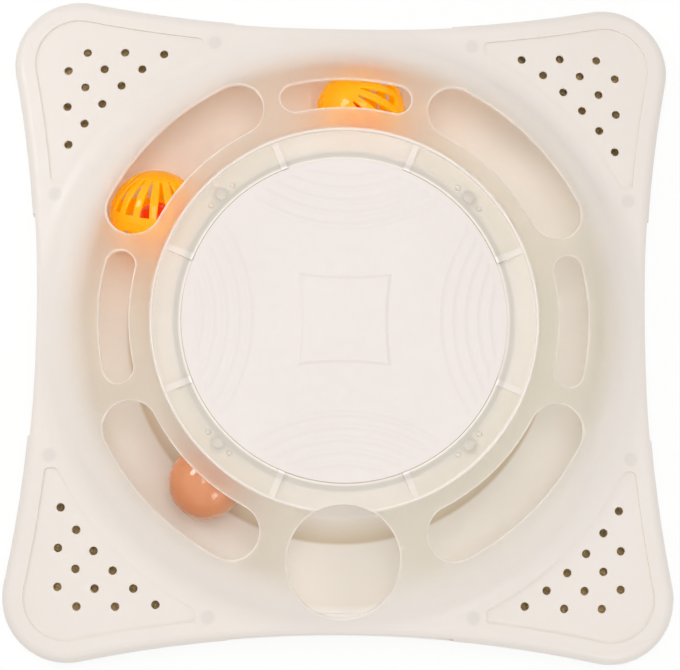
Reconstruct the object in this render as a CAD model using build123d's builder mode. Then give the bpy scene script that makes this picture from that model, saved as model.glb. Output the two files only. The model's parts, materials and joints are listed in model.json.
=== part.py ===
"""Cat ball track toy: a tray and a translucent cover that form a ring track for three balls."""

import math
import os

from build123d import *

# Driving sizes, in millimetres and degrees

# Balls and where they lie on the ring, counted from +X
ball_diameter = 41.0
small_ball_diameter = 33.0
ball_angles = {"ball_1": 85.5, "ball_2": 150.0, "ball_3": 229.3}
pole_shares = {"ball_1": (-0.50, 0.37, 0.78), "ball_2": (0.07, 0.91, 0.41), "ball_3": (-0.62, -0.40, 0.67)}
ball_wall = 1.6
seam_tongue_width = 0.6
seam_tongue_height = 0.9
seam_clearance = 0.1
window_count = 16
window_arc = 13.0
window_tip_arc = 4.0
window_low = 10.0
window_high = 62.0
window_reach_shares = (0.7, 1.5)

# Jingle bell in each lattice ball, rattle bead in the small ball
bell_diameter = 15.0
bell_wall = 0.6
bell_rim = 0.8
bell_slot = 1.6
bell_slot_share = 0.62
pea_diameter = 5.0
bead_diameter = 7.0
loose_gap = 0.3

# Ring track
hub_radius = 75.0
ball_side_room = 1.5
small_ball_side_room = 1.0
ball_outer_room = 10.3
ball_head_room = 2.3
trough_slope = 8.0
hub_cove_run = 9.5
hub_cove_rise = 8.0

# Tray
tray_wall = 2.0
foot_stand = 1.2
rim_room = 7.7
side_hollow = 12.5
corner_radius = 29.0
locating_rib_height = 4.0
locating_rib_width = 1.6
hub_rib_count = 8
hub_rib_width = 1.6
hub_rib_depth = 8.0
hub_boss_radius = 10.0
fit_clearance = 0.3

# Cover
cover_wall = 2.2
skirt_wall = 2.6
rim_round = 5.0
lip_round = 0.7
crown_radius = 45.0
crown_lean = 5.0
crown_fall = 57.0
flare_radius = 16.0
brim_slope = 8.0
ledge_drop = 3.8
ledge_reach = 8.8
deck_shelf = 3.5
narrow_slot_width = 13.0
narrow_slot_offset = 3.5
narrow_slot_half_arc = 16.6
narrow_slot_angles = (0.0, 90.0, 180.0)
wide_slot_width = 24.0
wide_slot_offset = 7.5
wide_slot_half_arc = 24.0
wide_slot_angles = (45.0, 135.0, 225.0, 315.0)
ball_hole_room = 8.0
ball_hole_offset = 8.0
ball_hole_angle = 270.0
finger_recess_depth = 1.2
finger_recess_length = 100.0

# Ring ledge of the cover
ledge_rib_width = 3.0
ledge_rib_height = 0.7
ledge_rib_angle = 22.0
ledge_dip = 1.2
ledge_boss_diameter = 4.6
ledge_boss_height = 0.5
ledge_stud_diameter = 2.4
ledge_stud_height = 0.9
ledge_stud_round = 0.6
ledge_stud_angle = 4.8
ledge_peg_diameter = 3.8
ledge_peg_reach = 2.0
ledge_peg_tip = 0.5
ear_diameter = 8.0
ear_height = 4.0

# Edge pegs of the cover, two on each side
edge_peg_diameter = 6.0
edge_peg_shift = 1.5
edge_peg_inset = 8.0
edge_peg_floor_gap = 1.2
edge_rib_width = 1.6
socket_wall = 1.4
socket_height = 4.5

# Perforated corner panels and the catnip pads under them
panel_border = 9.5
panel_margin = 0.6
panel_depth = 1.1
panel_tip_gap = 0.8
panel_tip_radius = 2.4
hole_diameter = 3.7
hole_lip_round = 0.4
hole_pitch = 12.1
hole_row_start = 7.1
hole_row_pitch = 11.2
hole_row_counts = (6, 4, 2)
compartment_wall = 1.2
compartment_height = 5.0
pad_side_gap = 0.4
pad_tip_radius = 2.0
pad_height = 8.5

# Feet
foot_diameter = 16.0
foot_pocket = 0.8
foot_gap = 0.3

# Centre plate and its relief
plate_gap = 0.3
plate_thickness = 2.2
plate_edge_round = 0.6
relief_height = 0.6
emblem_half_span = 19.75
emblem_half_waist = 18.4
emblem_corner_radius = 2.5
ripple_centre_reach = 43.6
ripple_first_radius = 74.6
ripple_pitch = 5.4
ripple_count = 5
ripple_width = 2.2
ripple_margin = 3.0

cut_overrun = 20.0
flat_share = 0.001
corner_shares = {
    "front_left": (-1, -1),
    "front_right": (1, -1),
    "back_right": (1, 1),
    "back_left": (-1, 1),
}
quarter_turns = (0, 90, 180, 270)


# Sizes that follow from the driving sizes

ball_radius = ball_diameter / 2
small_ball_radius = small_ball_diameter / 2
orbit_radius = hub_radius + ball_side_room + ball_radius
small_orbit_radius = hub_radius + small_ball_side_room + small_ball_radius
track_wall_radius = orbit_radius + ball_radius + ball_outer_room
track_wall_outside = track_wall_radius + tray_wall
half_waist = track_wall_outside + rim_room
half_span = half_waist + side_hollow
corner_place = half_span - corner_radius
side_reach = corner_place**2 + (half_waist - corner_place) ** 2 - corner_radius**2
side_radius = side_reach / (2 * (corner_radius - half_waist + corner_place))
side_centre = half_waist + side_radius

tray_bottom = foot_stand
crease_height = tray_bottom + tray_wall
slope_rise = math.tan(math.radians(trough_slope))
slope_run = math.cos(math.radians(trough_slope))
hub_floor = crease_height + hub_cove_rise
cove_angle = math.atan2(hub_cove_rise, hub_cove_run)
cove_radius = hub_radius + hub_cove_run
under_cove_radius = cove_radius - tray_wall * math.tan(cove_angle / 2)
under_cove_height = hub_floor - tray_wall * math.tan(math.pi / 4 - cove_angle / 2)
wall_floor = crease_height + (track_wall_radius - orbit_radius) * slope_rise

ball_height = crease_height + (ball_radius + loose_gap) / slope_run
small_ball_height = crease_height + small_ball_radius + loose_gap

crown_top = ball_height + ball_radius + ball_head_room + cover_wall
crown_place = orbit_radius - crown_lean
crown_centre_height = crown_top - crown_radius
ledge_top = crown_top - ledge_drop
deck_top = ledge_top - cover_wall
ledge_radius = hub_radius + ledge_reach
opening_radius = hub_radius - deck_shelf
ledge_peg_radius = hub_radius + ledge_peg_reach

fall_sine = math.sin(math.radians(crown_fall))
fall_cosine = math.cos(math.radians(crown_fall))
brim_sine = math.sin(math.radians(brim_slope))
brim_cosine = math.cos(math.radians(brim_slope))
flare_centre_place = crown_place + (crown_radius + flare_radius) * fall_sine
flare_centre_height = crown_centre_height + (crown_radius + flare_radius) * fall_cosine
brim_start = flare_centre_place - flare_radius * brim_sine
brim_start_height = flare_centre_height - flare_radius * brim_cosine
brim_end = half_span * math.sqrt(2)
brim_end_height = brim_start_height - (brim_end - brim_start) * brim_sine / brim_cosine

wall_top_reach = crown_radius - cover_wall - fit_clearance
wall_top = crown_centre_height + math.sqrt(wall_top_reach**2 - (track_wall_outside - crown_place) ** 2)

panel_radius = brim_start + panel_margin
edge_peg_place = half_waist - edge_peg_inset
edge_peg_along = math.sqrt(panel_radius**2 - edge_peg_place**2) + edge_peg_shift
edge_peg_radius = math.hypot(edge_peg_place, edge_peg_along)
socket_radius = edge_peg_diameter / 2 + fit_clearance + socket_wall
panel_tip_place = edge_peg_along + socket_radius + panel_tip_gap
edge_peg_top = brim_start_height - (edge_peg_radius - brim_start) * brim_sine / brim_cosine - cover_wall / 2
locating_inset = skirt_wall + fit_clearance
rib_foot = crease_height + max(locating_rib_height, socket_height) + fit_clearance
plate_radius = opening_radius - plate_gap
ripple_centre = plate_radius + ripple_centre_reach
foot_place = corner_place


def concave_square(span, waist, radius):
    """Draw a square of hollow sides and round corners: span and waist are half sizes."""
    corner = span - radius
    side_radius = (corner**2 + (waist - corner) ** 2 - radius**2) / (2 * (radius - waist + corner))
    side_centre = waist + side_radius
    reach = side_radius / (side_radius + radius)
    meet_across = corner * reach
    meet_up = side_centre - (side_centre - corner) * reach
    bulge = corner + radius / math.sqrt(2)
    for turn in quarter_turns:
        side = [Vector(-meet_across, meet_up), Vector(0, waist), Vector(meet_across, meet_up)]
        round_end = [Vector(meet_across, meet_up), Vector(bulge, bulge), Vector(meet_up, meet_across)]
        ThreePointArc(*[point.rotate(Axis.Z, turn) for point in side])
        ThreePointArc(*[point.rotate(Axis.Z, turn) for point in round_end])


def body_outline(inset):
    """The toy's plan outline, moved inwards by inset."""
    concave_square(half_span - inset, half_waist - inset, corner_radius - inset)


def shell_profile(inset, low):
    """Close the dome's section, moved inwards by inset, down to the height low."""
    dome = crown_radius - inset
    flare = flare_radius + inset
    step = ledge_radius + inset
    step_height = crown_centre_height + math.sqrt(dome**2 - (step - crown_place) ** 2)
    crest = (crown_place, crown_centre_height + dome)
    fall = (crown_place + dome * fall_sine, crown_centre_height + dome * fall_cosine)
    middle = math.radians((crown_fall + brim_slope) / 2)
    belly = (flare_centre_place - flare * math.sin(middle), flare_centre_height - flare * math.cos(middle))
    brim = (flare_centre_place - flare * brim_sine, flare_centre_height - flare * brim_cosine)
    end = (brim_end, brim_end_height - inset / brim_cosine)
    half_fall = math.radians(crown_fall / 2)
    shoulder = (crown_place + dome * math.sin(half_fall), crown_centre_height + dome * math.cos(half_fall))
    ledge = ledge_top - inset
    inner = opening_radius
    Polyline((inner, low), (inner, ledge), (step, ledge), (step, step_height))
    lean = (step + crest[0]) / 2
    ThreePointArc(
        (step, step_height),
        (lean, crown_centre_height + math.sqrt(dome**2 - (lean - crown_place) ** 2)),
        crest,
    )
    ThreePointArc(crest, shoulder, fall)
    ThreePointArc(fall, belly, brim)
    Polyline(brim, end, (brim_end, low), (inner, low))


def rim_edges():
    """The edges where the brim meets the upright outer faces."""
    upright = faces().filter_by(lambda face: abs(face.normal_at().Z) < flat_share)
    outer = upright.filter_by(lambda face: math.hypot(face.center().X, face.center().Y) > ledge_radius)
    sloped = outer.edges().filter_by(Axis.Z, reverse=True)
    return sloped.filter_by(lambda edge: edge.center().Z > crease_height)


def lip_edges():
    """The edges that the last cut left on the dome's outer face."""

    def on_dome(edge):
        middle = edge @ 0.5
        across = math.hypot(middle.X, middle.Y) - crown_place
        return math.hypot(across, middle.Z - crown_centre_height) > crown_radius - cover_wall / 4

    return edges(Select.LAST).filter_by(Axis.Z, reverse=True).filter_by(on_dome)


def hole_edges():
    """The edges that the last cut left on the outer face of the corner panels."""

    def on_panel(edge):
        middle = edge @ 0.5
        away = math.hypot(middle.X, middle.Y)
        brim = brim_start_height - (away - brim_start) * brim_sine / brim_cosine
        return away > panel_radius and middle.Z > brim - (panel_depth + cover_wall) / 2

    return edges(Select.LAST).filter_by(Axis.Z, reverse=True).filter_by(on_panel)


def corner_panel(grow, tip_radius):
    """The panel of the +X +Y corner, between the outline and the dome's foot, grown outwards by grow."""
    inset = panel_border - grow
    start = panel_tip_place - grow
    with Locations((start, start)):
        Rectangle(half_span, half_span, align=(Align.MIN, Align.MIN))
    with Locations((0, side_centre), (side_centre, 0)):
        Circle(side_radius + inset, mode=Mode.SUBTRACT)
    Circle(panel_radius - grow, mode=Mode.SUBTRACT)
    ends = vertices().sort_by_distance((half_span, half_span))
    fillet(ends[0], corner_radius - inset)
    tips = vertices().filter_by(lambda point: min(point.X, point.Y) < start + flat_share)
    fillet(tips, tip_radius)


def arc_slot(radius, width, half_arc, angle):
    """A kidney slot along the ring; half_arc includes its round end."""
    spread = half_arc - math.degrees(width / 2 / radius)
    middle = CenterArc((0, 0), radius, angle - spread, 2 * spread, mode=Mode.PRIVATE)
    SlotArc(middle, width)


def ring_place(angle, radius):
    """A point of the plan at an angle and a radius."""
    return (radius * math.cos(math.radians(angle)), radius * math.sin(math.radians(angle)))


def write(builder, name):
    """Label a finished piece and write its file."""
    builder.part.label = name
    export_step(builder.part, f"parts/{name}.step")


os.makedirs("parts", exist_ok=True)
edge_peg_places = [
    (along, out) for along in (-edge_peg_along, edge_peg_along) for out in (-edge_peg_place, edge_peg_place)
]
edge_peg_places += [(out, along) for along, out in edge_peg_places]
diagonal_places = [ring_place(angle, ledge_peg_radius) for angle in wide_slot_angles]
stud_angles = [angle + side for angle in wide_slot_angles for side in (-ledge_stud_angle, ledge_stud_angle)]
stud_places = [ring_place(angle, ledge_peg_radius) for angle in stud_angles]

# Base tray: hub, trough and outer track wall turned as one, on a plate of the toy's outline

with BuildPart() as base_tray:
    with BuildSketch(Plane.XZ):
        with BuildLine():
            Polyline(
                (0, deck_top),
                (hub_radius, deck_top),
                (hub_radius, hub_floor),
                (cove_radius, crease_height),
                (orbit_radius, crease_height),
                (track_wall_radius, wall_floor),
                (track_wall_radius, wall_top),
                (track_wall_outside, wall_top),
                (track_wall_outside, tray_bottom),
                (track_wall_radius, tray_bottom),
                (track_wall_radius, wall_floor - tray_wall),
                (orbit_radius, tray_bottom),
                (under_cove_radius, tray_bottom),
                (hub_radius - tray_wall, under_cove_height),
                (hub_radius - tray_wall, deck_top - tray_wall),
                (0, deck_top - tray_wall),
                close=True,
            )
        make_face()
    revolve(axis=Axis.Z)
    with BuildSketch(Plane.XY.offset(tray_bottom)):
        with BuildLine():
            body_outline(0)
        make_face()
        Circle(track_wall_radius, mode=Mode.SUBTRACT)
    extrude(amount=tray_wall)
    with BuildSketch(Plane.XY.offset(tray_bottom)):
        with BuildLine():
            body_outline(locating_inset)
        make_face()
        with BuildLine():
            body_outline(locating_inset + locating_rib_width)
        make_face(mode=Mode.SUBTRACT)
    extrude(amount=tray_wall + locating_rib_height)
    with BuildSketch(*[Plane.XY.offset(tray_bottom).rotated((0, 0, turn)) for turn in quarter_turns]):
        corner_panel(compartment_wall, panel_tip_radius + compartment_wall)
    extrude(amount=tray_wall + compartment_height)
    with BuildSketch(*[Plane.XY.offset(crease_height).rotated((0, 0, turn)) for turn in quarter_turns]):
        corner_panel(0, panel_tip_radius)
    extrude(amount=compartment_height, mode=Mode.SUBTRACT)
    with BuildSketch(Plane.XY.offset(tray_bottom)):
        with Locations(*edge_peg_places):
            Circle(socket_radius)
    extrude(amount=tray_wall + socket_height)
    with BuildSketch(Plane.XY.offset(crease_height)):
        with Locations(*edge_peg_places):
            Circle(edge_peg_diameter / 2 + fit_clearance)
    extrude(amount=cut_overrun, mode=Mode.SUBTRACT)
    with BuildSketch(Plane.XY.offset(deck_top - ear_height)):
        with Locations(*diagonal_places):
            Circle(ear_diameter / 2)
        Circle(hub_radius - tray_wall, mode=Mode.SUBTRACT)
    extrude(amount=ear_height)
    with BuildSketch(Plane.XY.offset(deck_top)):
        with Locations(*diagonal_places):
            Circle(ledge_peg_diameter / 2 + fit_clearance)
    extrude(amount=-ear_height - cut_overrun, mode=Mode.SUBTRACT)
    with BuildSketch(Plane.XY.offset(deck_top - tray_wall)):
        with PolarLocations((hub_radius - tray_wall) / 2, hub_rib_count):
            Rectangle(hub_radius - tray_wall, hub_rib_width)
        Circle(hub_boss_radius)
    extrude(amount=-hub_rib_depth)
    with BuildSketch(Plane.XY.offset(tray_bottom)):
        with Locations(*[(x * foot_place, y * foot_place) for x, y in corner_shares.values()]):
            Circle(foot_diameter / 2 + foot_gap)
    extrude(amount=foot_pocket, mode=Mode.SUBTRACT)

write(base_tray, "base_tray")

# Hollow of the cover: the space under the dome and inside the skirt

with BuildPart() as cover_hollow:
    with BuildSketch(Plane.XZ):
        with BuildLine():
            shell_profile(cover_wall, crease_height - cut_overrun)
        make_face()
    revolve(axis=Axis.Z)
    with BuildSketch(Plane.XY.offset(crease_height - cut_overrun)):
        with BuildLine():
            body_outline(skirt_wall)
        make_face()
    extrude(amount=crown_top + cut_overrun, mode=Mode.INTERSECT)

# Recesses of the corner panels, which follow the brim's slope

with BuildPart() as panel_recess:
    with BuildSketch(Plane.XZ):
        with BuildLine():
            Polyline(
                (brim_start, brim_start_height - panel_depth),
                (brim_end, brim_end_height - panel_depth),
                (brim_end, brim_start_height + cut_overrun),
                (brim_start, brim_start_height + cut_overrun),
                close=True,
            )
        make_face()
    revolve(axis=Axis.Z)
    with BuildSketch(*[Plane.XY.rotated((0, 0, turn)) for turn in quarter_turns]):
        corner_panel(0, panel_tip_radius)
    extrude(amount=brim_start_height + cut_overrun, mode=Mode.INTERSECT)

# Track cover: dome, ring ledge and skirt, with its slots, holes and pegs

with BuildPart() as track_cover:
    with BuildSketch(Plane.XZ):
        with BuildLine():
            shell_profile(0, crease_height)
        make_face()
    revolve(axis=Axis.Z)
    with BuildSketch(Plane.XY.offset(crease_height)):
        with BuildLine():
            body_outline(0)
        make_face()
    extrude(amount=crown_top, mode=Mode.INTERSECT)
    fillet(rim_edges(), rim_round)
    add(cover_hollow.part, mode=Mode.SUBTRACT)
    add(panel_recess.part, mode=Mode.SUBTRACT)
    with BuildSketch(Plane.XY.offset(crease_height)):
        with BuildLine():
            body_outline(-finger_recess_depth)
        make_face()
        with BuildLine():
            body_outline(finger_recess_depth)
        make_face(mode=Mode.SUBTRACT)
        Rectangle(finger_recess_length, 2 * half_span + cut_overrun, mode=Mode.INTERSECT)
    extrude(amount=crown_top, mode=Mode.SUBTRACT)
    with BuildSketch(Plane.XY.offset(crease_height)):
        with BuildLine():
            body_outline(-finger_recess_depth)
        make_face()
        with BuildLine():
            body_outline(finger_recess_depth)
        make_face(mode=Mode.SUBTRACT)
        Rectangle(2 * half_span + cut_overrun, finger_recess_length, mode=Mode.INTERSECT)
    extrude(amount=crown_top, mode=Mode.SUBTRACT)
    with BuildSketch(Plane.XY.offset(crease_height)):
        for angle in narrow_slot_angles:
            arc_slot(orbit_radius + narrow_slot_offset, narrow_slot_width, narrow_slot_half_arc, angle)
        for angle in wide_slot_angles:
            arc_slot(orbit_radius + wide_slot_offset, wide_slot_width, wide_slot_half_arc, angle)
    extrude(amount=crown_top, mode=Mode.SUBTRACT)
    fillet(lip_edges(), lip_round)
    with BuildSketch(Plane.XY.offset(crease_height)):
        with Locations(ring_place(ball_hole_angle, orbit_radius + ball_hole_offset)):
            Circle((ball_diameter + ball_hole_room) / 2)
    extrude(amount=crown_top, mode=Mode.SUBTRACT)
    fillet(lip_edges(), lip_round)
    with BuildSketch(Plane.XY.offset(crease_height)):
        for row, count in enumerate(hole_row_counts):
            row_radius = panel_radius + hole_row_start + row * hole_row_pitch
            step = math.degrees(hole_pitch / row_radius)
            for angle in wide_slot_angles:
                first = angle - step * (count - 1) / 2
                with Locations(*[ring_place(first + step * hole, row_radius) for hole in range(count)]):
                    Circle(hole_diameter / 2)
    extrude(amount=crown_top, mode=Mode.SUBTRACT)
    fillet(hole_edges(), hole_lip_round)
    for turn in quarter_turns:
        with BuildSketch(Plane.XZ.rotated((0, 0, turn - ledge_rib_angle))):
            with BuildLine():
                Polyline(
                    (opening_radius, ledge_top),
                    (opening_radius, ledge_top - ledge_dip),
                    (ledge_radius, ledge_top),
                    close=True,
                )
            make_face()
        revolve(axis=Axis.Z, revolution_arc=2 * ledge_rib_angle, mode=Mode.SUBTRACT)
    rib_angles = [turn + side for turn in quarter_turns for side in (-ledge_rib_angle, ledge_rib_angle)]
    with BuildSketch(Plane.XY.offset(deck_top + cover_wall / 2)):
        for angle in rib_angles:
            with Locations(Location(ring_place(angle, (opening_radius + ledge_radius) / 2), angle)):
                Rectangle(ledge_radius - opening_radius, ledge_rib_width)
    extrude(amount=cover_wall / 2 + ledge_rib_height)
    with BuildSketch(Plane.XY.offset(ledge_top)):
        with Locations(*diagonal_places):
            Circle(ledge_boss_diameter / 2)
    extrude(amount=ledge_boss_height)
    with BuildSketch(Plane.XY.offset(ledge_top)):
        with Locations(*stud_places):
            Circle(ledge_stud_diameter / 2)
    extrude(amount=ledge_stud_height)
    fillet(edges(Select.LAST).filter_by(GeomType.CIRCLE).group_by(Axis.Z)[-1], ledge_stud_round)
    with BuildSketch(Plane.XY.offset(deck_top)):
        with Locations(*diagonal_places):
            Circle(ledge_peg_diameter / 2)
    extrude(amount=-ear_height - ledge_peg_tip)
    with BuildSketch(Plane.XY.offset(crease_height + edge_peg_floor_gap)):
        with Locations(*edge_peg_places):
            Circle(edge_peg_diameter / 2)
    extrude(amount=edge_peg_top - crease_height - edge_peg_floor_gap)
    rib_length = half_waist - edge_peg_place
    with BuildSketch(Plane.XY.offset(rib_foot)):
        for x, y in edge_peg_places:
            across = abs(y) > abs(x)
            shift = (0, math.copysign(rib_length / 2, y)) if across else (math.copysign(rib_length / 2, x), 0)
            size = (edge_rib_width, rib_length) if across else (rib_length, edge_rib_width)
            with Locations((x + shift[0], y + shift[1])):
                Rectangle(*size)
    extrude(amount=edge_peg_top - cover_wall - rib_foot)

write(track_cover, "track_cover")

# Centre plate: a white disc that lies on the hub's deck, with raised ripples round a hollow-sided square

with BuildPart() as centre_plate:
    with BuildSketch(Plane.XY.offset(deck_top)):
        Circle(plate_radius)
    extrude(amount=plate_thickness)
    fillet(edges().group_by(Axis.Z)[-1], plate_edge_round)
    with BuildSketch(Plane.XY.offset(deck_top + plate_thickness)):
        with BuildLine():
            concave_square(emblem_half_span, emblem_half_waist, emblem_corner_radius)
        make_face()
    extrude(amount=relief_height)
    with BuildSketch(Plane.XY.offset(deck_top + plate_thickness)):
        for ripple in range(ripple_count):
            ripple_radius = ripple_first_radius - ripple * ripple_pitch
            with PolarLocations(ripple_centre, len(quarter_turns)):
                Circle(ripple_radius)
                Circle(ripple_radius - ripple_width, mode=Mode.SUBTRACT)
        Circle(plate_radius - ripple_margin, mode=Mode.INTERSECT)
    extrude(amount=relief_height)

write(centre_plate, "centre_plate")

# Catnip pads, one in each corner compartment, and a rubber foot under each corner

for turn, corner in zip(quarter_turns, ("back_right", "back_left", "front_left", "front_right")):
    with BuildPart() as catnip_pad:
        with BuildSketch(Plane.XY.offset(crease_height + loose_gap).rotated((0, 0, turn))):
            corner_panel(-pad_side_gap, pad_tip_radius)
        extrude(amount=pad_height)
    write(catnip_pad, f"catnip_pad_{corner}")

for corner, (x_share, y_share) in corner_shares.items():
    with BuildPart() as foot:
        with BuildSketch(Plane.XY):
            with Locations((x_share * foot_place, y_share * foot_place)):
                Circle(foot_diameter / 2)
        extrude(amount=tray_bottom + foot_pocket)
    write(foot, f"foot_{corner}")


def ball_frame(name, radius, height):
    """The ball's centre, pole, and an axis across the pole, as vectors."""
    x, y = ring_place(ball_angles[name], radius)
    pole = Vector(*pole_shares[name]).normalized()
    across = pole.cross(Vector(0, 0, 1)).normalized()
    return Vector(x, y, height), pole, across


def section_plane(centre, pole, across):
    """A plane through the pole, with its first axis across and its second along the pole."""
    return Plane(origin=centre, x_dir=across, z_dir=across.cross(pole))


def quarter_shell(outside, wall):
    """Draw the section of half a hollow ball, from its rim to its pole."""
    inside = outside - wall
    CenterArc((0, 0), outside, 0, 90)
    Line((0, outside), (0, inside))
    CenterArc((0, 0), inside, 0, 90)
    Line((inside, 0), (outside, 0))


def seam_joint(outside, wall, tongue):
    """The tongue of one half's seam face, or the groove that takes it in the other half."""
    room = 0 if tongue else seam_clearance
    height = 2 * (seam_tongue_height + room)
    with Locations((outside - wall / 2, 0)):
        Rectangle(seam_tongue_width + 2 * room, height, mode=Mode.ADD if tongue else Mode.SUBTRACT)


def window_heading(pole, across, latitude, turn):
    """The direction from a ball's centre at a latitude above its seam and a turn round its pole."""
    side = pole.cross(across)
    level = across * math.cos(math.radians(turn)) + side * math.sin(math.radians(turn))
    return level * math.cos(math.radians(latitude)) + pole * math.sin(math.radians(latitude))


def window_points(pole, across, distance):
    """The corners of a lattice window, seen from the ball's centre, on a plane at a distance from it."""
    aim = window_heading(pole, across, (window_low + window_high) / 2, 0)
    side = pole.cross(across)
    up = aim.cross(side)
    half = window_arc / 2
    tip = window_tip_arc / 2
    places = ((window_low, -half), (window_low, half), (window_high, tip), (window_high, -tip))
    headings = [window_heading(pole, across, latitude, turn) for latitude, turn in places]
    spots = [heading * (distance / heading.dot(aim)) for heading in headings]
    return [(spot.dot(side), spot.dot(up)) for spot in spots]


def window_plane(centre, pole, across, distance):
    """The plane across a lattice window's middle direction, at a distance from the ball's centre."""
    aim = window_heading(pole, across, (window_low + window_high) / 2, 0)
    return Plane(origin=centre + aim * distance, x_dir=pole.cross(across), z_dir=aim)


# Lattice balls: two halves with windows between meridian ribs, and a bell with its pea

bell_radius = bell_diameter / 2
for name in ("ball_1", "ball_2"):
    centre, pole, across = ball_frame(name, orbit_radius, ball_height)
    for half, side in (("upper", 1), ("lower", -1)):
        half_pole = pole * side
        with BuildPart() as window:
            for reach_share in window_reach_shares:
                reach = ball_radius * reach_share
                with BuildSketch(window_plane(centre, half_pole, across, reach)):
                    with BuildLine():
                        Polyline(*window_points(half_pole, across, reach), close=True)
                    make_face()
            loft(ruled=True)
        with BuildPart() as shell_half:
            with BuildSketch(section_plane(centre, half_pole, across)):
                with BuildLine():
                    quarter_shell(ball_radius, ball_wall)
                make_face()
                seam_joint(ball_radius, ball_wall, half == "upper")
            revolve(axis=Axis(centre, half_pole))
            turns = [(place + 0.5) * 360 / window_count for place in range(window_count)]
            add([window.part.rotate(Axis(centre, half_pole), turn) for turn in turns], mode=Mode.SUBTRACT)
        write(shell_half, f"{name}_shell_{half}")

    bell_drop = ball_radius - ball_wall - loose_gap - bell_radius
    bell_centre = centre - Vector(0, 0, bell_drop)
    for half, side in (("upper", 1), ("lower", -1)):
        with BuildPart() as bell_cup:
            with BuildSketch(section_plane(bell_centre, Vector(0, 0, side), Vector(1, 0, 0))):
                with BuildLine():
                    quarter_shell(bell_radius, bell_wall)
                make_face()
                with Locations((bell_radius - bell_wall, 0)):
                    Rectangle(bell_wall + bell_rim, bell_rim, align=(Align.MIN, Align.MIN))
            revolve(axis=Axis(bell_centre, (0, 0, 1)))
            if half == "lower":
                with BuildSketch(Plane.XY.offset(bell_centre.Z - bell_radius)):
                    with Locations((bell_centre.X, bell_centre.Y)):
                        Rectangle(2 * bell_radius * bell_slot_share, bell_slot)
                        Rectangle(bell_slot, 2 * bell_radius * bell_slot_share)
                extrude(amount=bell_radius - bell_rim, mode=Mode.SUBTRACT)
        write(bell_cup, f"{name}_bell_{half}")
    with BuildPart() as pea:
        with Locations(bell_centre - Vector(0, 0, bell_radius - bell_wall - loose_gap - pea_diameter / 2)):
            Sphere(pea_diameter / 2)
    write(pea, f"{name}_bell_pea")

# Small ball: two plain halves and a rattle bead

centre, pole, across = ball_frame("ball_3", small_orbit_radius, small_ball_height)
for half, side in (("upper", 1), ("lower", -1)):
    with BuildPart() as small_half:
        with BuildSketch(section_plane(centre, pole * side, across)):
            with BuildLine():
                quarter_shell(small_ball_radius, ball_wall)
            make_face()
            seam_joint(small_ball_radius, ball_wall, half == "upper")
        revolve(axis=Axis(centre, pole))
    write(small_half, f"ball_3_shell_{half}")
with BuildPart() as bead:
    with Locations(centre - Vector(0, 0, small_ball_radius - ball_wall - loose_gap - bead_diameter / 2)):
        Sphere(bead_diameter / 2)
write(bead, "ball_3_rattle_bead")
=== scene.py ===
import json
import math

import bpy
import numpy as np
from mathutils import Matrix, Vector


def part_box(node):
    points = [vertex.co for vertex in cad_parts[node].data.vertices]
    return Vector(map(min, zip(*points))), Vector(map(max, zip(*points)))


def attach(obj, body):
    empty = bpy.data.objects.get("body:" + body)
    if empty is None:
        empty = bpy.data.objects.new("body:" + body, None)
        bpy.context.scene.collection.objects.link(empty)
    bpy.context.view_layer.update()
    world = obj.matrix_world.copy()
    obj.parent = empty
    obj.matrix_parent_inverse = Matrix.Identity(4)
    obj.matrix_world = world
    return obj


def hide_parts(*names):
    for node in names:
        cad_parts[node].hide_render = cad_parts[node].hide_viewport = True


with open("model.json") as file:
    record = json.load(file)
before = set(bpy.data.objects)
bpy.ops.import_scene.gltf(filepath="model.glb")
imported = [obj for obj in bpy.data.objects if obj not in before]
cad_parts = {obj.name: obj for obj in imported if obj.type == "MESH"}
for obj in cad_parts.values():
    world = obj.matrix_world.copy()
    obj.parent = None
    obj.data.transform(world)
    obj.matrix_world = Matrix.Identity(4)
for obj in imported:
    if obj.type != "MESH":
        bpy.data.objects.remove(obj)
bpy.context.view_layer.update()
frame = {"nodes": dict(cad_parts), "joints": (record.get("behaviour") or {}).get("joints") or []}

# Feet
# Four soft grey rubber discs pressed into round pockets under the tray's corners.
# Each is moulded with a rounded edge and a shallow ring in its sole, so that it grips a smooth floor.


def mesh_piece(name, points, faces, finish):
    """Put an array of points and lists of faces into a smooth mesh at the origin, with one finish."""
    mesh = bpy.data.meshes.new(name)
    mesh.from_pydata(points.tolist(), [], faces)
    mesh.polygons.foreach_set("use_smooth", np.ones(len(mesh.polygons), dtype=bool))
    mesh.materials.append(finish)
    mesh.update()
    piece = bpy.data.objects.new(name, mesh)
    bpy.context.scene.collection.objects.link(piece)
    return piece


def turned_surface(radii, heights, count):
    """A profile turned about the upright axis: point (i, j) lies at (r_i cos a_j, r_i sin a_j, h_i).
    The profile runs from the top down. Its two ends are on the axis, and each closes in one point."""
    angles = np.linspace(0, 2 * np.pi, count, endpoint=False)
    x = np.outer(radii, np.cos(angles))
    y = np.outer(radii, np.sin(angles))
    z = np.outer(heights, np.ones(count))
    rings = np.stack([x, y, z], axis=-1)
    points = np.vstack([[[0, 0, heights[0]]], rings[1:-1].reshape(-1, 3), [[0, 0, heights[-1]]]])
    rows = len(radii) - 2
    column = np.arange(count)
    beside = (column + 1) % count
    start = 1 + count * np.arange(rows - 1)[:, None]
    near, far = start + column, start + beside
    quads = np.stack([near, near + count, far + count, far], axis=-1)
    last = 1 + count * (rows - 1)
    first_fan = np.stack([np.zeros(count, dtype=int), 1 + column, 1 + beside], axis=-1)
    last_fan = np.stack([last + beside, last + column, np.full(count, last + count)], axis=-1)
    return points, quads.reshape(-1, 4).tolist() + first_fan.tolist() + last_fan.tolist()


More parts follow.
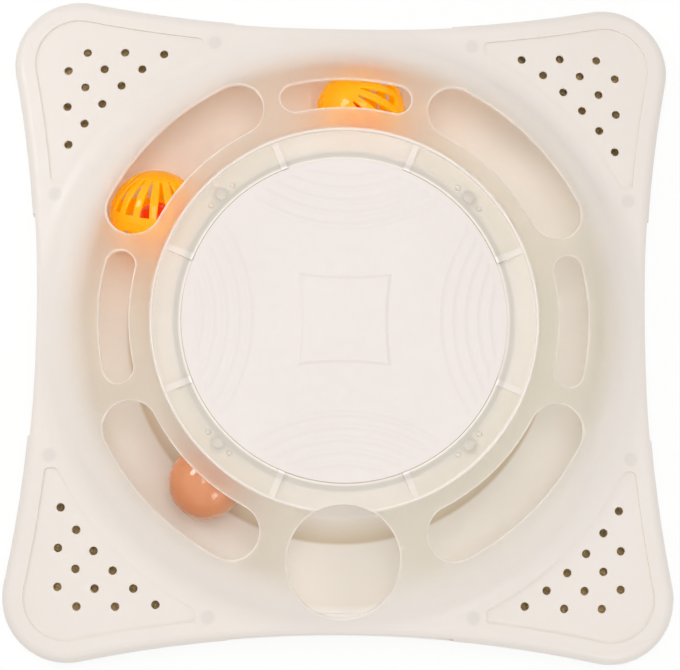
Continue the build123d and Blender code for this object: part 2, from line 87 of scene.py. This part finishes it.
def new_finish(name):
    """A node material with one surface shader, returned with its node tree and that shader."""
    finish = bpy.data.materials.new(name)
    finish.use_nodes = True
    return finish, finish.node_tree, finish.node_tree.nodes["Principled BSDF"]


def grain(tree, scale, detail):
    """Noise over the piece's own coordinates, scale cells to a metre."""
    place = tree.nodes.new("ShaderNodeTexCoord")
    noise = tree.nodes.new("ShaderNodeTexNoise")
    noise.inputs["Scale"].default_value = scale
    noise.inputs["Detail"].default_value = detail
    tree.links.new(place.outputs["Object"], noise.inputs["Vector"])
    return noise.outputs["Fac"]


grain_low, grain_high = 0.3, 0.7


def tint(tree, shader, factor, deep, pale):
    """Colour the shader between two close tones by a factor."""
    ramp = tree.nodes.new("ShaderNodeValToRGB")
    ends = ramp.color_ramp.elements
    ends[0].position, ends[1].position = grain_low, grain_high
    ends[0].color, ends[1].color = (*deep, 1), (*pale, 1)
    tree.links.new(factor, ramp.inputs["Fac"])
    tree.links.new(ramp.outputs["Color"], shader.inputs["Base Color"])


def spread(tree, value, first, last, low=0.0, high=1.0):
    """Map a value from first to last straight onto low to high, and hold it beyond them."""
    node = tree.nodes.new("ShaderNodeMapRange")
    for socket, number in zip(("From Min", "From Max", "To Min", "To Max"), (first, last, low, high)):
        node.inputs[socket].default_value = number
    tree.links.new(value, node.inputs["Value"])
    return node.outputs["Result"]


def polish(tree, shader, factor, smooth, rough):
    """Spread the shader's roughness between two values by a factor."""
    roughness = spread(tree, factor, grain_low, grain_high, smooth, rough)
    tree.links.new(roughness, shader.inputs["Roughness"])


def dimple(tree, shader, factor, strength, depth):
    """Raise the shader's surface by a factor, depth metres at most."""
    bump = tree.nodes.new("ShaderNodeBump")
    bump.inputs["Strength"].default_value = strength
    bump.inputs["Distance"].default_value = depth
    tree.links.new(factor, bump.inputs["Height"])
    tree.links.new(bump.outputs["Normal"], shader.inputs["Normal"])


rubber, tree, shader = new_finish("foot_rubber")
tint(tree, shader, grain(tree, 900, 3), (0.30, 0.30, 0.29), (0.36, 0.36, 0.345))
polish(tree, shader, grain(tree, 2400, 2), 0.62, 0.8)
dimple(tree, shader, grain(tree, 5200, 2), 0.35, 0.0002)
edge_radius = 0.0007
edge_turns = np.linspace(0, np.pi / 2, 7)
groove = 0.0003
sole = [(0, groove), (0.0030, groove), (0.0034, 0), (0.0046, 0)]
sole += [(0.0050, groove), (0.0056, groove), (0.0060, 0)]
foot_sides = 64
for corner in ("front_left", "front_right", "back_right", "back_left"):
    low, high = (np.array(spot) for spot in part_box(f"foot_{corner}"))
    outside = (high[0] - low[0]) / 2
    tall = high[2] - low[2]
    inside = outside - edge_radius
    rim = [(inside + edge_radius * math.sin(a), edge_radius - edge_radius * math.cos(a)) for a in edge_turns]
    profile = np.array(sole + rim + [(outside, tall), (0, tall)])[::-1]
    points, faces = turned_surface(profile[:, 0], profile[:, 1], foot_sides)
    points += np.append((low + high)[:2] / 2, low[2])
    foot = mesh_piece(f"rubber_foot_{corner}", points, faces, rubber)
    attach(foot, "housing")
    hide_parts(f"foot_{corner}")

# Base tray
# One moulding in milky polypropylene: the round hub, the trough that the balls roll in, its outer wall
# and a flat plate out to the toy's outline. Its warm cream floor shows through the paw slots, with painted
# shade over the trough that is deepest in a tan band just inside the crease.


def ring_ramp(tree, stops):
    """A colour by the distance from the upright axis: each stop gives a radius in metres and a colour, with
    straight lines between."""
    place = tree.nodes.new("ShaderNodeTexCoord")
    flat = tree.nodes.new("ShaderNodeVectorMath")
    flat.operation = "MULTIPLY"
    flat.inputs[1].default_value = (1, 1, 0)
    away = tree.nodes.new("ShaderNodeVectorMath")
    away.operation = "LENGTH"
    first, last = stops[0][0], stops[-1][0]
    ramp = tree.nodes.new("ShaderNodeValToRGB")
    while len(ramp.color_ramp.elements) < len(stops):
        ramp.color_ramp.elements.new(0.5)
    for element, (radius, tone) in zip(ramp.color_ramp.elements, stops):
        element.position = (radius - first) / (last - first)
        element.color = (*tone, 1)
    tree.links.new(place.outputs["Object"], flat.inputs[0])
    tree.links.new(flat.outputs["Vector"], away.inputs[0])
    tree.links.new(spread(tree, away.outputs["Value"], first, last), ramp.inputs["Fac"])
    return ramp.outputs["Color"]


def paint_shade(tree, shader, tone):
    """Multiply the shader's colour by a tone, which paints shade onto it."""
    mix = tree.nodes.new("ShaderNodeMix")
    mix.data_type = "RGBA"
    mix.blend_type = "MULTIPLY"
    mix.inputs[0].default_value = 1.0
    tree.links.new(shader.inputs["Base Color"].links[0].from_socket, mix.inputs[6])
    tree.links.new(tone, mix.inputs[7])
    tree.links.new(mix.outputs[2], shader.inputs["Base Color"])


def dress(node, finish):
    """Put a finish in the slot of a CAD node."""
    materials = frame["nodes"][node].data.materials
    materials.clear()
    materials.append(finish)


milky_tray, tree, shader = new_finish("milky_tray")
tint(tree, shader, grain(tree, 14, 2), (0.955, 0.925, 0.895), (0.97, 0.945, 0.92))
plain = (1, 1, 1)
# Painted shade on the floor: a little darker across the trough out to the wall, and deepest in a tan band
# just inside the crease where the inner floor meets the outer one.
floor_painted_shade = [(0.075, plain), (0.085, plain), (0.087, (0.92, 0.90, 0.84)), (0.0962, (0.67, 0.585, 0.435))]
floor_painted_shade += [(0.0976, (0.90, 0.89, 0.855)), (0.124, (0.885, 0.87, 0.825)), (0.128, plain), (0.13, plain)]
paint_shade(tree, shader, ring_ramp(tree, floor_painted_shade))
polish(tree, shader, grain(tree, 160, 3), 0.38, 0.5)
dimple(tree, shader, grain(tree, 2600, 2), 0.12, 0.0001)
polypropylene = 1.49
shader.inputs["IOR"].default_value = polypropylene
dress("base_tray", milky_tray)

# Catnip
# A loose bed of crumbled dried leaf fills the compartment under each perforated corner.
# It is a heap of flat broken flakes, darkest in its gaps, and shows only through the small holes.

dried_leaf, tree, shader = new_finish("dried_leaf")
tint(tree, shader, grain(tree, 520, 4), (0.58, 0.42, 0.19), (0.95, 0.74, 0.40))
polish(tree, shader, grain(tree, 900, 2), 0.75, 0.95)
dimple(tree, shader, grain(tree, 1500, 4), 0.6, 0.0006)
bed_inner = 0.1419
bed_inset = 0.0105
bed_gap = 0.0006
bed_turns = np.radians(np.linspace(27.6, 62.4, 61))
bed_shares = np.linspace(0, 1, 41)
corner_centre, corner_round = 0.121, 0.029
side_centre, side_round = 0.7004, 0.5629
bank_part, bank_columns = 1 / 8, 6
heap_foot, heap_rise = 0.12, 0.74
lump_height = 0.00035
flake_count = 700
flake_rows, flake_columns = 4, 3
flake_lift = 0.0005
flake_thickness = 0.00015


def slab_faces(rows, columns):
    """The quads of a closed slab on two grids of points, the upper grid first: top, underside and walls."""
    count = rows * columns
    index = np.arange(count).reshape(rows, columns)
    top = np.stack([index[:-1, :-1], index[1:, :-1], index[1:, 1:], index[:-1, 1:]], axis=-1).reshape(-1, 4)
    border = np.concatenate([index[0, :-1], index[:-1, -1], index[-1, :0:-1], index[:0:-1, 0]])
    after = np.roll(border, -1)
    walls = np.stack([border, after, after + count, border + count], axis=-1)
    return np.vstack([top, top[:, ::-1] + count, walls])


def bed_border():
    """The distance from the axis to the bed's outer border at each turn: the toy's hollow side, an arc about
    a point outside the toy, or its round corner, both moved inwards by the inset."""
    side, bend = side_round + bed_inset, corner_round - bed_inset
    lean = np.maximum(np.cos(bed_turns), np.sin(bed_turns)) * side_centre
    to_side = lean - np.sqrt(lean**2 - side_centre**2 + side**2)
    aside = corner_centre * (np.cos(bed_turns) + np.sin(bed_turns))
    to_bend = aside + np.sqrt(np.maximum(aside**2 - 2 * corner_centre**2 + bend**2, 0))
    meet = side / (side + bend)
    last = math.atan2(side_centre + (corner_centre - side_centre) * meet, corner_centre * meet)
    return np.where(np.abs(bed_turns - np.pi / 4) < last - np.pi / 4, to_bend, to_side)


def leaf_bed(low, high, sides, seed):
    """A heap over the corner panel: point (i, j) lies on the ray at angle a_j, a share s_i of the way from
    the inner arc to the border. It rises to a lumpy top that falls away at every border; a flat floor
    closes it. Flakes are small bent rectangles scattered over the top, each turned about and tipped by random
    angles, and closed by a second sheet just below."""
    rng = np.random.default_rng(seed)
    floor = low[2]
    room = high[2] - low[2]
    rows, columns = len(bed_shares), len(bed_turns)
    inner = bed_inner + bed_gap
    radius = inner + bed_shares[:, None] * (bed_border() - inner)
    x, y = radius * np.cos(bed_turns), radius * np.sin(bed_turns)
    from_arcs = np.minimum(bed_shares, 1 - bed_shares)[:, None] / bank_part
    from_rays = np.minimum(np.arange(columns), np.arange(columns)[::-1]) / bank_columns
    edge = np.minimum(from_arcs, from_rays)
    lumps = sum(
        np.sin(x * fx + px) * np.sin(y * fy + py)
        for fx, fy, px, py in zip(*rng.uniform(250, 900, (2, 6)), *rng.uniform(0, 6.3, (2, 6)))
    )
    top = room * (heap_foot + heap_rise * np.clip(edge, 0, 1) ** 0.5) + lump_height * lumps
    heap = np.stack([x, y, floor + np.clip(top, 0.0004, room - 0.0006)], axis=-1).reshape(-1, 3)
    base = np.stack([x, y, np.full_like(x, floor)], axis=-1).reshape(-1, 3)
    index = np.arange(rows * columns).reshape(rows, columns)
    picks = rng.choice(index[4:-4, 5:-5].ravel(), flake_count)
    lay = rng.uniform(0, 2 * np.pi, flake_count)[:, None]
    tip = rng.normal(0, 0.45, flake_count)[:, None]
    length = rng.uniform(0.0008, 0.0022, flake_count)[:, None]
    breadth = length * rng.uniform(0.35, 0.8, flake_count)[:, None]
    u = np.repeat(np.linspace(-1, 1, flake_rows), flake_columns)
    v = np.tile(np.linspace(-1, 1, flake_columns), flake_rows)
    along = length * u
    wide = breadth * v * (1 - 0.45 * u**2)
    rise = np.sin(tip) * along + 0.25 * breadth * v**2
    flat = np.cos(tip) * along
    flake_x = flat * np.cos(lay) - wide * np.sin(lay)
    flake_y = flat * np.sin(lay) + wide * np.cos(lay)
    flakes = heap[picks][:, None, :] + np.stack([flake_x, flake_y, rise + flake_lift], axis=-1)
    flakes[..., 2] = np.clip(flakes[..., 2], floor + flake_thickness, high[2])
    flakes = np.concatenate([flakes, flakes - (0, 0, flake_thickness)], axis=1)
    starts = len(heap) + len(base) + flakes.shape[1] * np.arange(flake_count)[:, None, None]
    leaves = (starts + slab_faces(flake_rows, flake_columns)).reshape(-1, 4)
    points = np.vstack([heap, base, flakes.reshape(-1, 3)])
    faces = slab_faces(rows, columns).tolist() + leaves.tolist()
    points[:, :2] *= sides
    if sides[0] * sides[1] < 0:
        faces = [face[::-1] for face in faces]
    return points, faces


corner_sides = {"front_left": (-1, -1), "front_right": (1, -1), "back_right": (1, 1), "back_left": (-1, 1)}
for seed, (corner, sides) in enumerate(corner_sides.items()):
    low, high = (np.array(spot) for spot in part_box(f"catnip_pad_{corner}"))
    points, faces = leaf_bed(low, high, sides, seed)
    bed = mesh_piece(f"leaf_bed_{corner}", points, faces, dried_leaf)
    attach(bed, "housing")
    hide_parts(f"catnip_pad_{corner}")

# Jingle bells
# Two pressed steel cups joined at a rim and dipped in red lacquer, with a cross slot below
# and a plain steel pea loose inside. One bell lies at the bottom of each lattice ball.

red_lacquer, tree, shader = new_finish("red_lacquer")
tint(tree, shader, grain(tree, 300, 2), (0.92, 0.028, 0.004), (1.0, 0.045, 0.008))
polish(tree, shader, grain(tree, 700, 3), 0.16, 0.28)
dimple(tree, shader, grain(tree, 900, 2), 0.15, 0.0002)
shader.inputs["Coat Weight"].default_value = 0.6
shader.inputs["Coat Roughness"].default_value = 0.08
pea_steel, tree, shader = new_finish("pea_steel")
tint(tree, shader, grain(tree, 1500, 2), (0.50, 0.50, 0.50), (0.62, 0.62, 0.61))
polish(tree, shader, grain(tree, 2600, 3), 0.25, 0.4)
shader.inputs["Metallic"].default_value = 1.0
for ball in ("ball_1", "ball_2"):
    dress(f"{ball}_bell_upper", red_lacquer)
    dress(f"{ball}_bell_lower", red_lacquer)
    dress(f"{ball}_bell_pea", pea_steel)

# Lattice balls
# Two moulded halves in clear orange plastic, sprung together at the equator.
# Sixteen wedge-shaped windows stand between round-edged ribs that run from the seam band to the pole.

clear_orange_painted_glow, tree, shader = new_finish("clear_orange_painted_glow")
tint(tree, shader, grain(tree, 120, 2), (1.0, 0.57, 0.0), (1.0, 0.65, 0.0))
polish(tree, shader, grain(tree, 420, 3), 0.06, 0.12)
shader.inputs["IOR"].default_value = 1.49
shader.inputs["Coat Weight"].default_value = 0.5
shader.inputs["Coat Roughness"].default_value = 0.05
# A faint orange emission makes the shells glow by themselves: a painted glow, as they are no lamp.
shader.inputs["Emission Color"].default_value = (1.0, 0.56, 0.0, 1)
shader.inputs["Emission Strength"].default_value = 0.18


def blend(tree, first, second, share, end="Material Output"):
    """Show a mix of two shaders, the second by a share that is a number or a socket."""
    node = tree.nodes.new("ShaderNodeMixShader")
    if isinstance(share, float):
        node.inputs[0].default_value = share
    else:
        tree.links.new(share, node.inputs[0])
    tree.links.new(first, node.inputs[1])
    tree.links.new(second, node.inputs[2])
    tree.links.new(node.outputs["Shader"], tree.nodes[end].inputs["Surface"])


through = tree.nodes.new("ShaderNodeBsdfTranslucent")
through.inputs["Color"].default_value = (1.0, 0.78, 0.0, 1)
blend(tree, shader.outputs["BSDF"], through.outputs["BSDF"], 0.5)
ball_radius = 0.0205
ball_wall = 0.0016
window_count = 16
window_arc, tip_arc = math.radians(13), math.radians(4)
window_low, window_high = math.radians(10), math.radians(62)
latitudes = np.radians([0, 0.6, 4.5, 9, 10, 11.2, 22, 35, 48, 60.5, 62, 64, 72, 81])
just_past = math.radians(0.1)


def lattice_half(centre, pole):
    """Half a lattice ball as a sheet on its outer sphere: point (i, j) lies at latitude b_i above the seam
    and turn a_ij round the pole, c + R (cos b (cos a e1 + sin a e2) + sin b p). Windows narrow from the seam
    band to their tips, and the faces inside them are left out."""
    pole = pole / np.linalg.norm(pole)
    first = np.cross(pole, (0, 0, 1))
    first /= np.linalg.norm(first)
    second = np.cross(pole, first)
    pitch = 2 * np.pi / window_count
    arc = np.interp(latitudes, [window_low, window_high], [window_arc, tip_arc])[:, None]
    rib = pitch - arc
    rib_steps = rib * np.array([-0.5, -0.18, 0.18, 0.5])
    window_steps = 0.5 * rib + arc * np.array([0.1, 0.5, 0.9])
    steps = np.concatenate([rib_steps, window_steps], axis=1)
    turns = pitch * np.arange(window_count)[None, :, None] + steps[:, None, :]
    turns = turns.reshape(len(latitudes), -1)
    level = np.cos(turns)[..., None] * first + np.sin(turns)[..., None] * second
    rise = latitudes[:, None, None]
    sheet = centre + ball_radius * (np.cos(rise) * level + np.sin(rise) * pole)
    columns = turns.shape[1]
    index = np.arange(len(latitudes) * columns).reshape(len(latitudes), columns)
    beside = np.roll(index, -1, axis=1)
    quads = np.stack([index[:-1], beside[:-1], beside[1:], index[1:]], axis=-1)
    in_window = np.tile(np.array([False, False, False, True, True, True, True]), window_count)
    between = (latitudes[:-1] >= window_low - just_past) & (latitudes[1:] <= window_high + just_past)
    kept = quads[~(between[:, None] & in_window)]
    top = len(latitudes) * columns
    fan = np.stack([index[-1], beside[-1], np.full(columns, top)], axis=-1)
    points = np.vstack([sheet.reshape(-1, 3), [centre + ball_radius * pole]])
    used = np.unique(np.concatenate([kept.ravel(), fan.ravel()]))
    renumber = np.zeros(top + 1, dtype=int)
    renumber[used] = np.arange(len(used))
    return points[used], renumber[kept].tolist() + renumber[fan].tolist()


rest_places = {joint["name"]: np.array(joint["pos_m"]) for joint in frame["joints"] if "pos_m" in joint}
for ball, pole in {"ball_1": (-0.50, 0.37, 0.78), "ball_2": (0.07, 0.91, 0.41)}.items():
    for half, side in (("upper", 1), ("lower", -1)):
        points, faces = lattice_half(rest_places[f"{ball}_roll"], side * np.array(pole))
        shell = mesh_piece(f"{ball}_lattice_{half}", points, faces, clear_orange_painted_glow)
        wall = shell.modifiers.new("wall", "SOLIDIFY")
        wall.thickness = ball_wall
        wall.offset = -1
        soft = shell.modifiers.new("round_edges", "SUBSURF")
        soft.levels = 2
        soft.render_levels = 2
        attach(shell, f"{ball}_shell")
        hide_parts(f"{ball}_shell_{half}")

# Small ball
# A plain glossy ball in peach plastic, two thin halves welded at a seam.
# A white plastic bead lies loose inside and rattles.

glossy_peach, tree, shader = new_finish("glossy_peach")
tint(tree, shader, grain(tree, 70, 2), (0.76, 0.305, 0.14), (0.80, 0.335, 0.16))
polish(tree, shader, grain(tree, 380, 3), 0.06, 0.14)
shader.inputs["Subsurface Weight"].default_value = 0.3
shader.inputs["Subsurface Radius"].default_value = (1.0, 0.5, 0.3)
shader.inputs["Subsurface Scale"].default_value = 0.003
shader.inputs["Coat Weight"].default_value = 0.5
shader.inputs["Coat Roughness"].default_value = 0.04
bead_white, tree, shader = new_finish("bead_white")
tint(tree, shader, grain(tree, 600, 2), (0.76, 0.76, 0.74), (0.82, 0.82, 0.80))
polish(tree, shader, grain(tree, 900, 2), 0.25, 0.4)
dress("ball_3_shell_upper", glossy_peach)
dress("ball_3_shell_lower", glossy_peach)
dress("ball_3_rattle_bead", bead_white)

# Track cover
# The milky polypropylene cover, pressed down over the tray on its hidden pegs. Its dome leaves paw slots over
# the track, and the plastic is thin and cloudy enough for the balls to glow through it.

milky_cover, tree, shader = new_finish("milky_cover")
tint(tree, shader, grain(tree, 11, 2), (0.945, 0.885, 0.83), (0.96, 0.905, 0.855))
polish(tree, shader, grain(tree, 140, 3), 0.3, 0.42)
dimple(tree, shader, grain(tree, 2600, 2), 0.1, 0.0001)
shader.inputs["IOR"].default_value = polypropylene


def step(tree, operation, *terms):
    """One step of arithmetic on sockets and plain numbers."""
    node = tree.nodes.new("ShaderNodeMath")
    node.operation = operation
    for socket, term in zip(node.inputs, terms):
        if isinstance(term, (int, float)):
            socket.default_value = term
        else:
            tree.links.new(term, socket)
    return node.outputs[0]


def length_of(tree, first, second):
    """The length of a flat vector with two parts."""
    squares = [step(tree, "MULTIPLY", part, part) for part in (first, second)]
    return step(tree, "SQRT", step(tree, "ADD", *squares))


def slot_gap(tree, away, turn, middle, width, reach, start):
    """The distance outwards from the edge of kidney slots a quarter turn apart: the length of
    (r - m, m max(|a| - s, 0)) less half the width, with m the middle radius, a the turn from the nearest
    slot's middle and s the turn to its round end."""
    nearest = step(tree, "PINGPONG", step(tree, "SUBTRACT", turn, start), math.pi / 4)
    past = step(tree, "MULTIPLY", step(tree, "MAXIMUM", step(tree, "SUBTRACT", nearest, reach), 0), middle)
    return step(tree, "SUBTRACT", length_of(tree, past, step(tree, "SUBTRACT", away, middle)), width / 2)


place = tree.nodes.new("ShaderNodeTexCoord")
parts = tree.nodes.new("ShaderNodeSeparateXYZ")
tree.links.new(place.outputs["Object"], parts.inputs[0])
x, y = parts.outputs["X"], parts.outputs["Y"]
away = length_of(tree, x, y)
turn = step(tree, "ARCTAN2", y, x)
wide_reach, narrow_reach = math.radians(17.42), math.radians(12.89)
wide_gap = slot_gap(tree, away, turn, middle=0.1045, width=0.024, reach=wide_reach, start=math.pi / 4)
narrow_gap = slot_gap(tree, away, turn, middle=0.1005, width=0.013, reach=narrow_reach, start=0)
no_slot_beyond = -0.06
narrow_gap = step(tree, "MAXIMUM", narrow_gap, step(tree, "SUBTRACT", no_slot_beyond, y))
hole_away, hole_radius = 0.105, 0.0245
hole_gap = step(tree, "SUBTRACT", length_of(tree, x, step(tree, "ADD", y, hole_away)), hole_radius)
lip_gap = step(tree, "MINIMUM", step(tree, "MINIMUM", wide_gap, narrow_gap), hole_gap)
# Painted highlight: within a millimetre of the slot and hole edges the cover is made less clear, so that the
# lips show as bright rims.
lip_start, lip_end, lip_highlight_share = 0.0002, 0.0010, 0.45
beyond_lip_highlight = spread(tree, lip_gap, lip_start, lip_end, low=lip_highlight_share)
clear_stops = [(0.07, 0), (0.0722, 0), (0.0728, 0.3), (0.0834, 0.3), (0.0837, 0.1), (0.0842, 0.1)]
clear_stops += [(0.0852, 0.9), (0.113, 0.9), (0.122, 0.33), (0.128, 0.15), (0.143, 0.15)]
clear_share = ring_ramp(tree, [(radius, (share,) * 3) for radius, share in clear_stops])
clear_share = step(tree, "MULTIPLY", clear_share, beyond_lip_highlight)

# Painted shade on the ring ledge: the sectors between its ribs are darkened, fully in the diagonal sectors
# and to 0.6 of that in the cardinal ones, while the ribs stay pale.
rib_turn = math.radians(22)
from_rib = step(tree, "SUBTRACT", step(tree, "PINGPONG", turn, math.pi / 4), rib_turn)
rib_half, rib_fade = 0.0011, 0.0017
rib_gap = step(tree, "MULTIPLY", step(tree, "ABSOLUTE", from_rib), away)
beside_rib = spread(tree, rib_gap, rib_half, rib_fade)
corner_side = step(tree, "MULTIPLY_ADD", step(tree, "GREATER_THAN", from_rib, 0), 0.4, 0.6)
dark = (0, 0, 0)
on_ledge = ring_ramp(tree, [(0.07, plain), (0.0832, plain), (0.0836, dark), (0.09, dark)])
ledge_painted_shade = tree.nodes.new("ShaderNodeMix")
ledge_painted_shade.data_type = "RGBA"
ledge_painted_shade.inputs[6].default_value = (1, 1, 1, 1)
ledge_painted_shade.inputs[7].default_value = (0.90, 0.89, 0.83, 1)
ledge_shade_share = step(tree, "MULTIPLY", step(tree, "MULTIPLY", on_ledge, beside_rib), corner_side)
tree.links.new(ledge_shade_share, ledge_painted_shade.inputs[0])
paint_shade(tree, shader, ledge_painted_shade.outputs[2])

# Painted shade: eight round spots over the hidden edge pegs darken the brim to 0.93 of its colour.
sides = step(tree, "ABSOLUTE", x), step(tree, "ABSOLUTE", y)
peg_out, peg_aside = 0.1295, 0.0586
peg_radius, peg_fade, peg_shade_tone = 0.0024, 0.0036, 0.93
from_peg = length_of(
    tree,
    step(tree, "SUBTRACT", step(tree, "MAXIMUM", *sides), peg_out),
    step(tree, "SUBTRACT", step(tree, "MINIMUM", *sides), peg_aside),
)
paint_shade(tree, shader, spread(tree, from_peg, peg_radius, peg_fade, low=peg_shade_tone))

frost = tree.nodes.new("ShaderNodeBsdfGlass")
frost.distribution = "MULTI_GGX"
frost.inputs["Color"].default_value = (0.996, 1.0, 0.985, 1)
frost.inputs["Roughness"].default_value = 0.95
frost.inputs["IOR"].default_value = 1.38
blend(tree, shader.outputs["BSDF"], frost.outputs["BSDF"], clear_share)
dress("track_cover", milky_cover)

# Centre plate
# An opaque white disc that drops into the cover's ring and lies on the tray's hub.
# Soft ripples and a hollow-sided square are moulded into its top.

opaque_white, tree, shader = new_finish("opaque_white")
tint(tree, shader, grain(tree, 18, 2), (0.82, 0.757, 0.726), (0.84, 0.777, 0.746))
polish(tree, shader, grain(tree, 240, 3), 0.42, 0.55)
dimple(tree, shader, grain(tree, 3000, 2), 0.1, 0.0001)
rim_spread = 0.00018
rim_edge, foot_cut = 0.0003, 0.0003
flat_rim, rim_fade = 0.003, 0.002
relief_height = 0.0006
top_rings, plate_sides = 150, 600
ripple_centre, first_ripple, ripple_pitch, ripple_half = 0.1148, 0.0735, 0.0054, 0.0021
ripple_count = 5
ripple_share = 0.6
fade_end, fade_length = 0.050, 0.018
square_span, square_waist, square_slope = 0.01975, 0.0184, 0.0013


def smooth_step(share):
    """An easy rise from 0 to 1: s s (3 - 2 s)."""
    return share * share * (3 - 2 * share)


def plate_relief(x, y):
    """The height of the plate's relief as a share: on each side a set of ripples about a point outside the
    plate, cos squared across each ridge and faded at its ends, and in the middle a hollow-sided square."""
    relief = np.zeros(len(x))
    for turn in range(4):
        angle = turn * np.pi / 2
        out = x * math.cos(angle) + y * math.sin(angle)
        over = -x * math.sin(angle) + y * math.cos(angle)
        away = np.hypot(out - ripple_centre, over)
        wave = np.zeros(len(x))
        for ripple in range(ripple_count):
            ridge = (away - (first_ripple - ripple * ripple_pitch)) / ripple_half
            wave += np.where(np.abs(ridge) < 1, np.cos(ridge * np.pi / 2) ** 2, 0)
        relief += ripple_share * wave * smooth_step(np.clip((fade_end - np.abs(over)) / fade_length, 0, 1))
    side_x = square_waist + (square_span - square_waist) * (y / square_span) ** 2
    side_y = square_waist + (square_span - square_waist) * (x / square_span) ** 2
    beyond = np.maximum(np.abs(x) - side_x, np.abs(y) - side_y)
    return relief + smooth_step(np.clip(0.5 - beyond / square_slope, 0, 1))


def moulded_disc(low, high):
    """A round plate: point (i, j) of its top lies at radius r_i and angle a_j, raised by its relief, then
    the profile turns down over a rounded edge and back to the axis underneath. Its rim spreads a little into
    the fit gap of the ring."""
    outside = (high[0] - low[0]) / 2 + rim_spread
    top = high[2] - relief_height
    inner = outside - rim_edge
    bend = np.linspace(0, np.pi / 2, 6)[1:]
    bend_radii = inner + rim_edge * np.sin(bend)
    bend_heights = top - rim_edge + rim_edge * np.cos(bend)
    radii = np.concatenate([np.linspace(0, inner, top_rings), bend_radii, [outside, outside - foot_cut, 0]])
    heights = np.concatenate([np.full(top_rings, top), bend_heights, [low[2] + foot_cut, low[2], low[2]]])
    points, faces = turned_surface(radii, heights, plate_sides)
    x, y = points[:, 0], points[:, 1]
    flat_top = points[:, 2] > top - 1e-7
    margin = np.clip((outside - flat_rim - np.hypot(x, y)) / rim_fade, 0, 1)
    points[:, 2] += np.where(flat_top, np.clip(plate_relief(x, y), 0, 1) * margin * relief_height, 0)
    return points, faces


low, high = (np.array(spot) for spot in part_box("centre_plate"))
points, faces = moulded_disc(low, high)
plate = mesh_piece("rippled_plate", points, faces, opaque_white)
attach(plate, "plate")
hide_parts("centre_plate")

# Floor, light and camera
# A plain white floor that stays white to the eye but keeps a soft shadow, a wide lamp overhead, a small one
# at the back left and a fill from the front. The camera looks down from just in front, with a long lens.

white_floor, tree, shader = new_finish("white_floor")
shader.inputs["Base Color"].default_value = (0.9, 0.9, 0.9, 1)
shader.inputs["Roughness"].default_value = 0.9
path = tree.nodes.new("ShaderNodeLightPath")
seen = step(tree, "MAXIMUM", path.outputs["Is Camera Ray"], path.outputs["Is Glossy Ray"])
seen = step(tree, "MAXIMUM", seen, path.outputs["Is Transmission Ray"])
white_share = step(tree, "MULTIPLY", seen, 0.8)
glow = tree.nodes.new("ShaderNodeEmission")
glow.inputs["Strength"].default_value = 1.03
blend(tree, shader.outputs["BSDF"], glow.outputs["Emission"], white_share)
floor_reach = 4.0
floor_corners = floor_reach * np.array([(-1, -1, 0), (1, -1, 0), (1, 1, 0), (-1, 1, 0)])
floor = mesh_piece("floor", floor_corners, [(0, 1, 2, 3)], white_floor)

world = bpy.data.worlds.new("studio")
bpy.context.scene.world = world
world.use_nodes = True
tree = world.node_tree
back = tree.nodes["Background"]
back.inputs["Color"].default_value = (1.0, 0.985, 0.965, 1)
back.inputs["Strength"].default_value = 0.68
open_back = tree.nodes.new("ShaderNodeBackground")
open_back.inputs["Color"].default_value = (1, 1, 1, 1)
open_back.inputs["Strength"].default_value = 1.0
path = tree.nodes.new("ShaderNodeLightPath")
camera_ray = path.outputs["Is Camera Ray"]
blend(tree, back.outputs["Background"], open_back.outputs["Background"], camera_ray, end="World Output")


def soft_lamp(name, place, aim, width, power):
    """A square lamp at a place, turned to face an aim point."""
    lamp = bpy.data.lights.new(name, "AREA")
    lamp.size = width
    lamp.energy = power
    holder = bpy.data.objects.new(name, lamp)
    bpy.context.scene.collection.objects.link(holder)
    towards = np.array(aim) - np.array(place)
    holder.rotation_euler = Vector(towards).to_track_quat("-Z", "Y").to_euler()
    holder.location = place


soft_lamp("overhead", place=(0.0, 0.1, 1.3), aim=(0, 0, 0), width=0.6, power=3.6)
soft_lamp("left_window", place=(-0.75, 0.45, 0.8), aim=(0, 0, 0.02), width=0.3, power=2.0)
soft_lamp("front_fill", place=(0.6, -1.0, 0.8), aim=(0, 0, 0.02), width=0.4, power=1.8)

turn, tilt, roll = (math.radians(angle) for angle in (-18.06, 82.65, 18.50))
far = 0.9228
aim = np.array([-0.00099, -0.00377, 0.020])
back_way = np.array([math.sin(turn) * math.cos(tilt), -math.cos(turn) * math.cos(tilt), math.sin(tilt)])
right_way = np.array([math.cos(turn), math.sin(turn), 0.0])
up_way = np.cross(back_way, right_way)
across = right_way * math.cos(roll) + up_way * math.sin(roll)
upwards = -right_way * math.sin(roll) + up_way * math.cos(roll)
eye = bpy.data.cameras.new("eye")
eye.lens = 108.9
eye.sensor_width = 36.0
eye.clip_start = 0.01
camera = bpy.data.objects.new("camera", eye)
bpy.context.scene.collection.objects.link(camera)
stand = np.eye(4)
stand[:3, 0], stand[:3, 1], stand[:3, 2], stand[:3, 3] = across, upwards, back_way, aim + far * back_way
camera.matrix_world = Matrix(stand.tolist())
bpy.context.scene.camera = camera
bpy.context.scene.view_settings.view_transform = "Standard"
bpy.context.scene.cycles.max_bounces = 32
bpy.context.scene.cycles.diffuse_bounces = 12
bpy.context.scene.cycles.transmission_bounces = 24
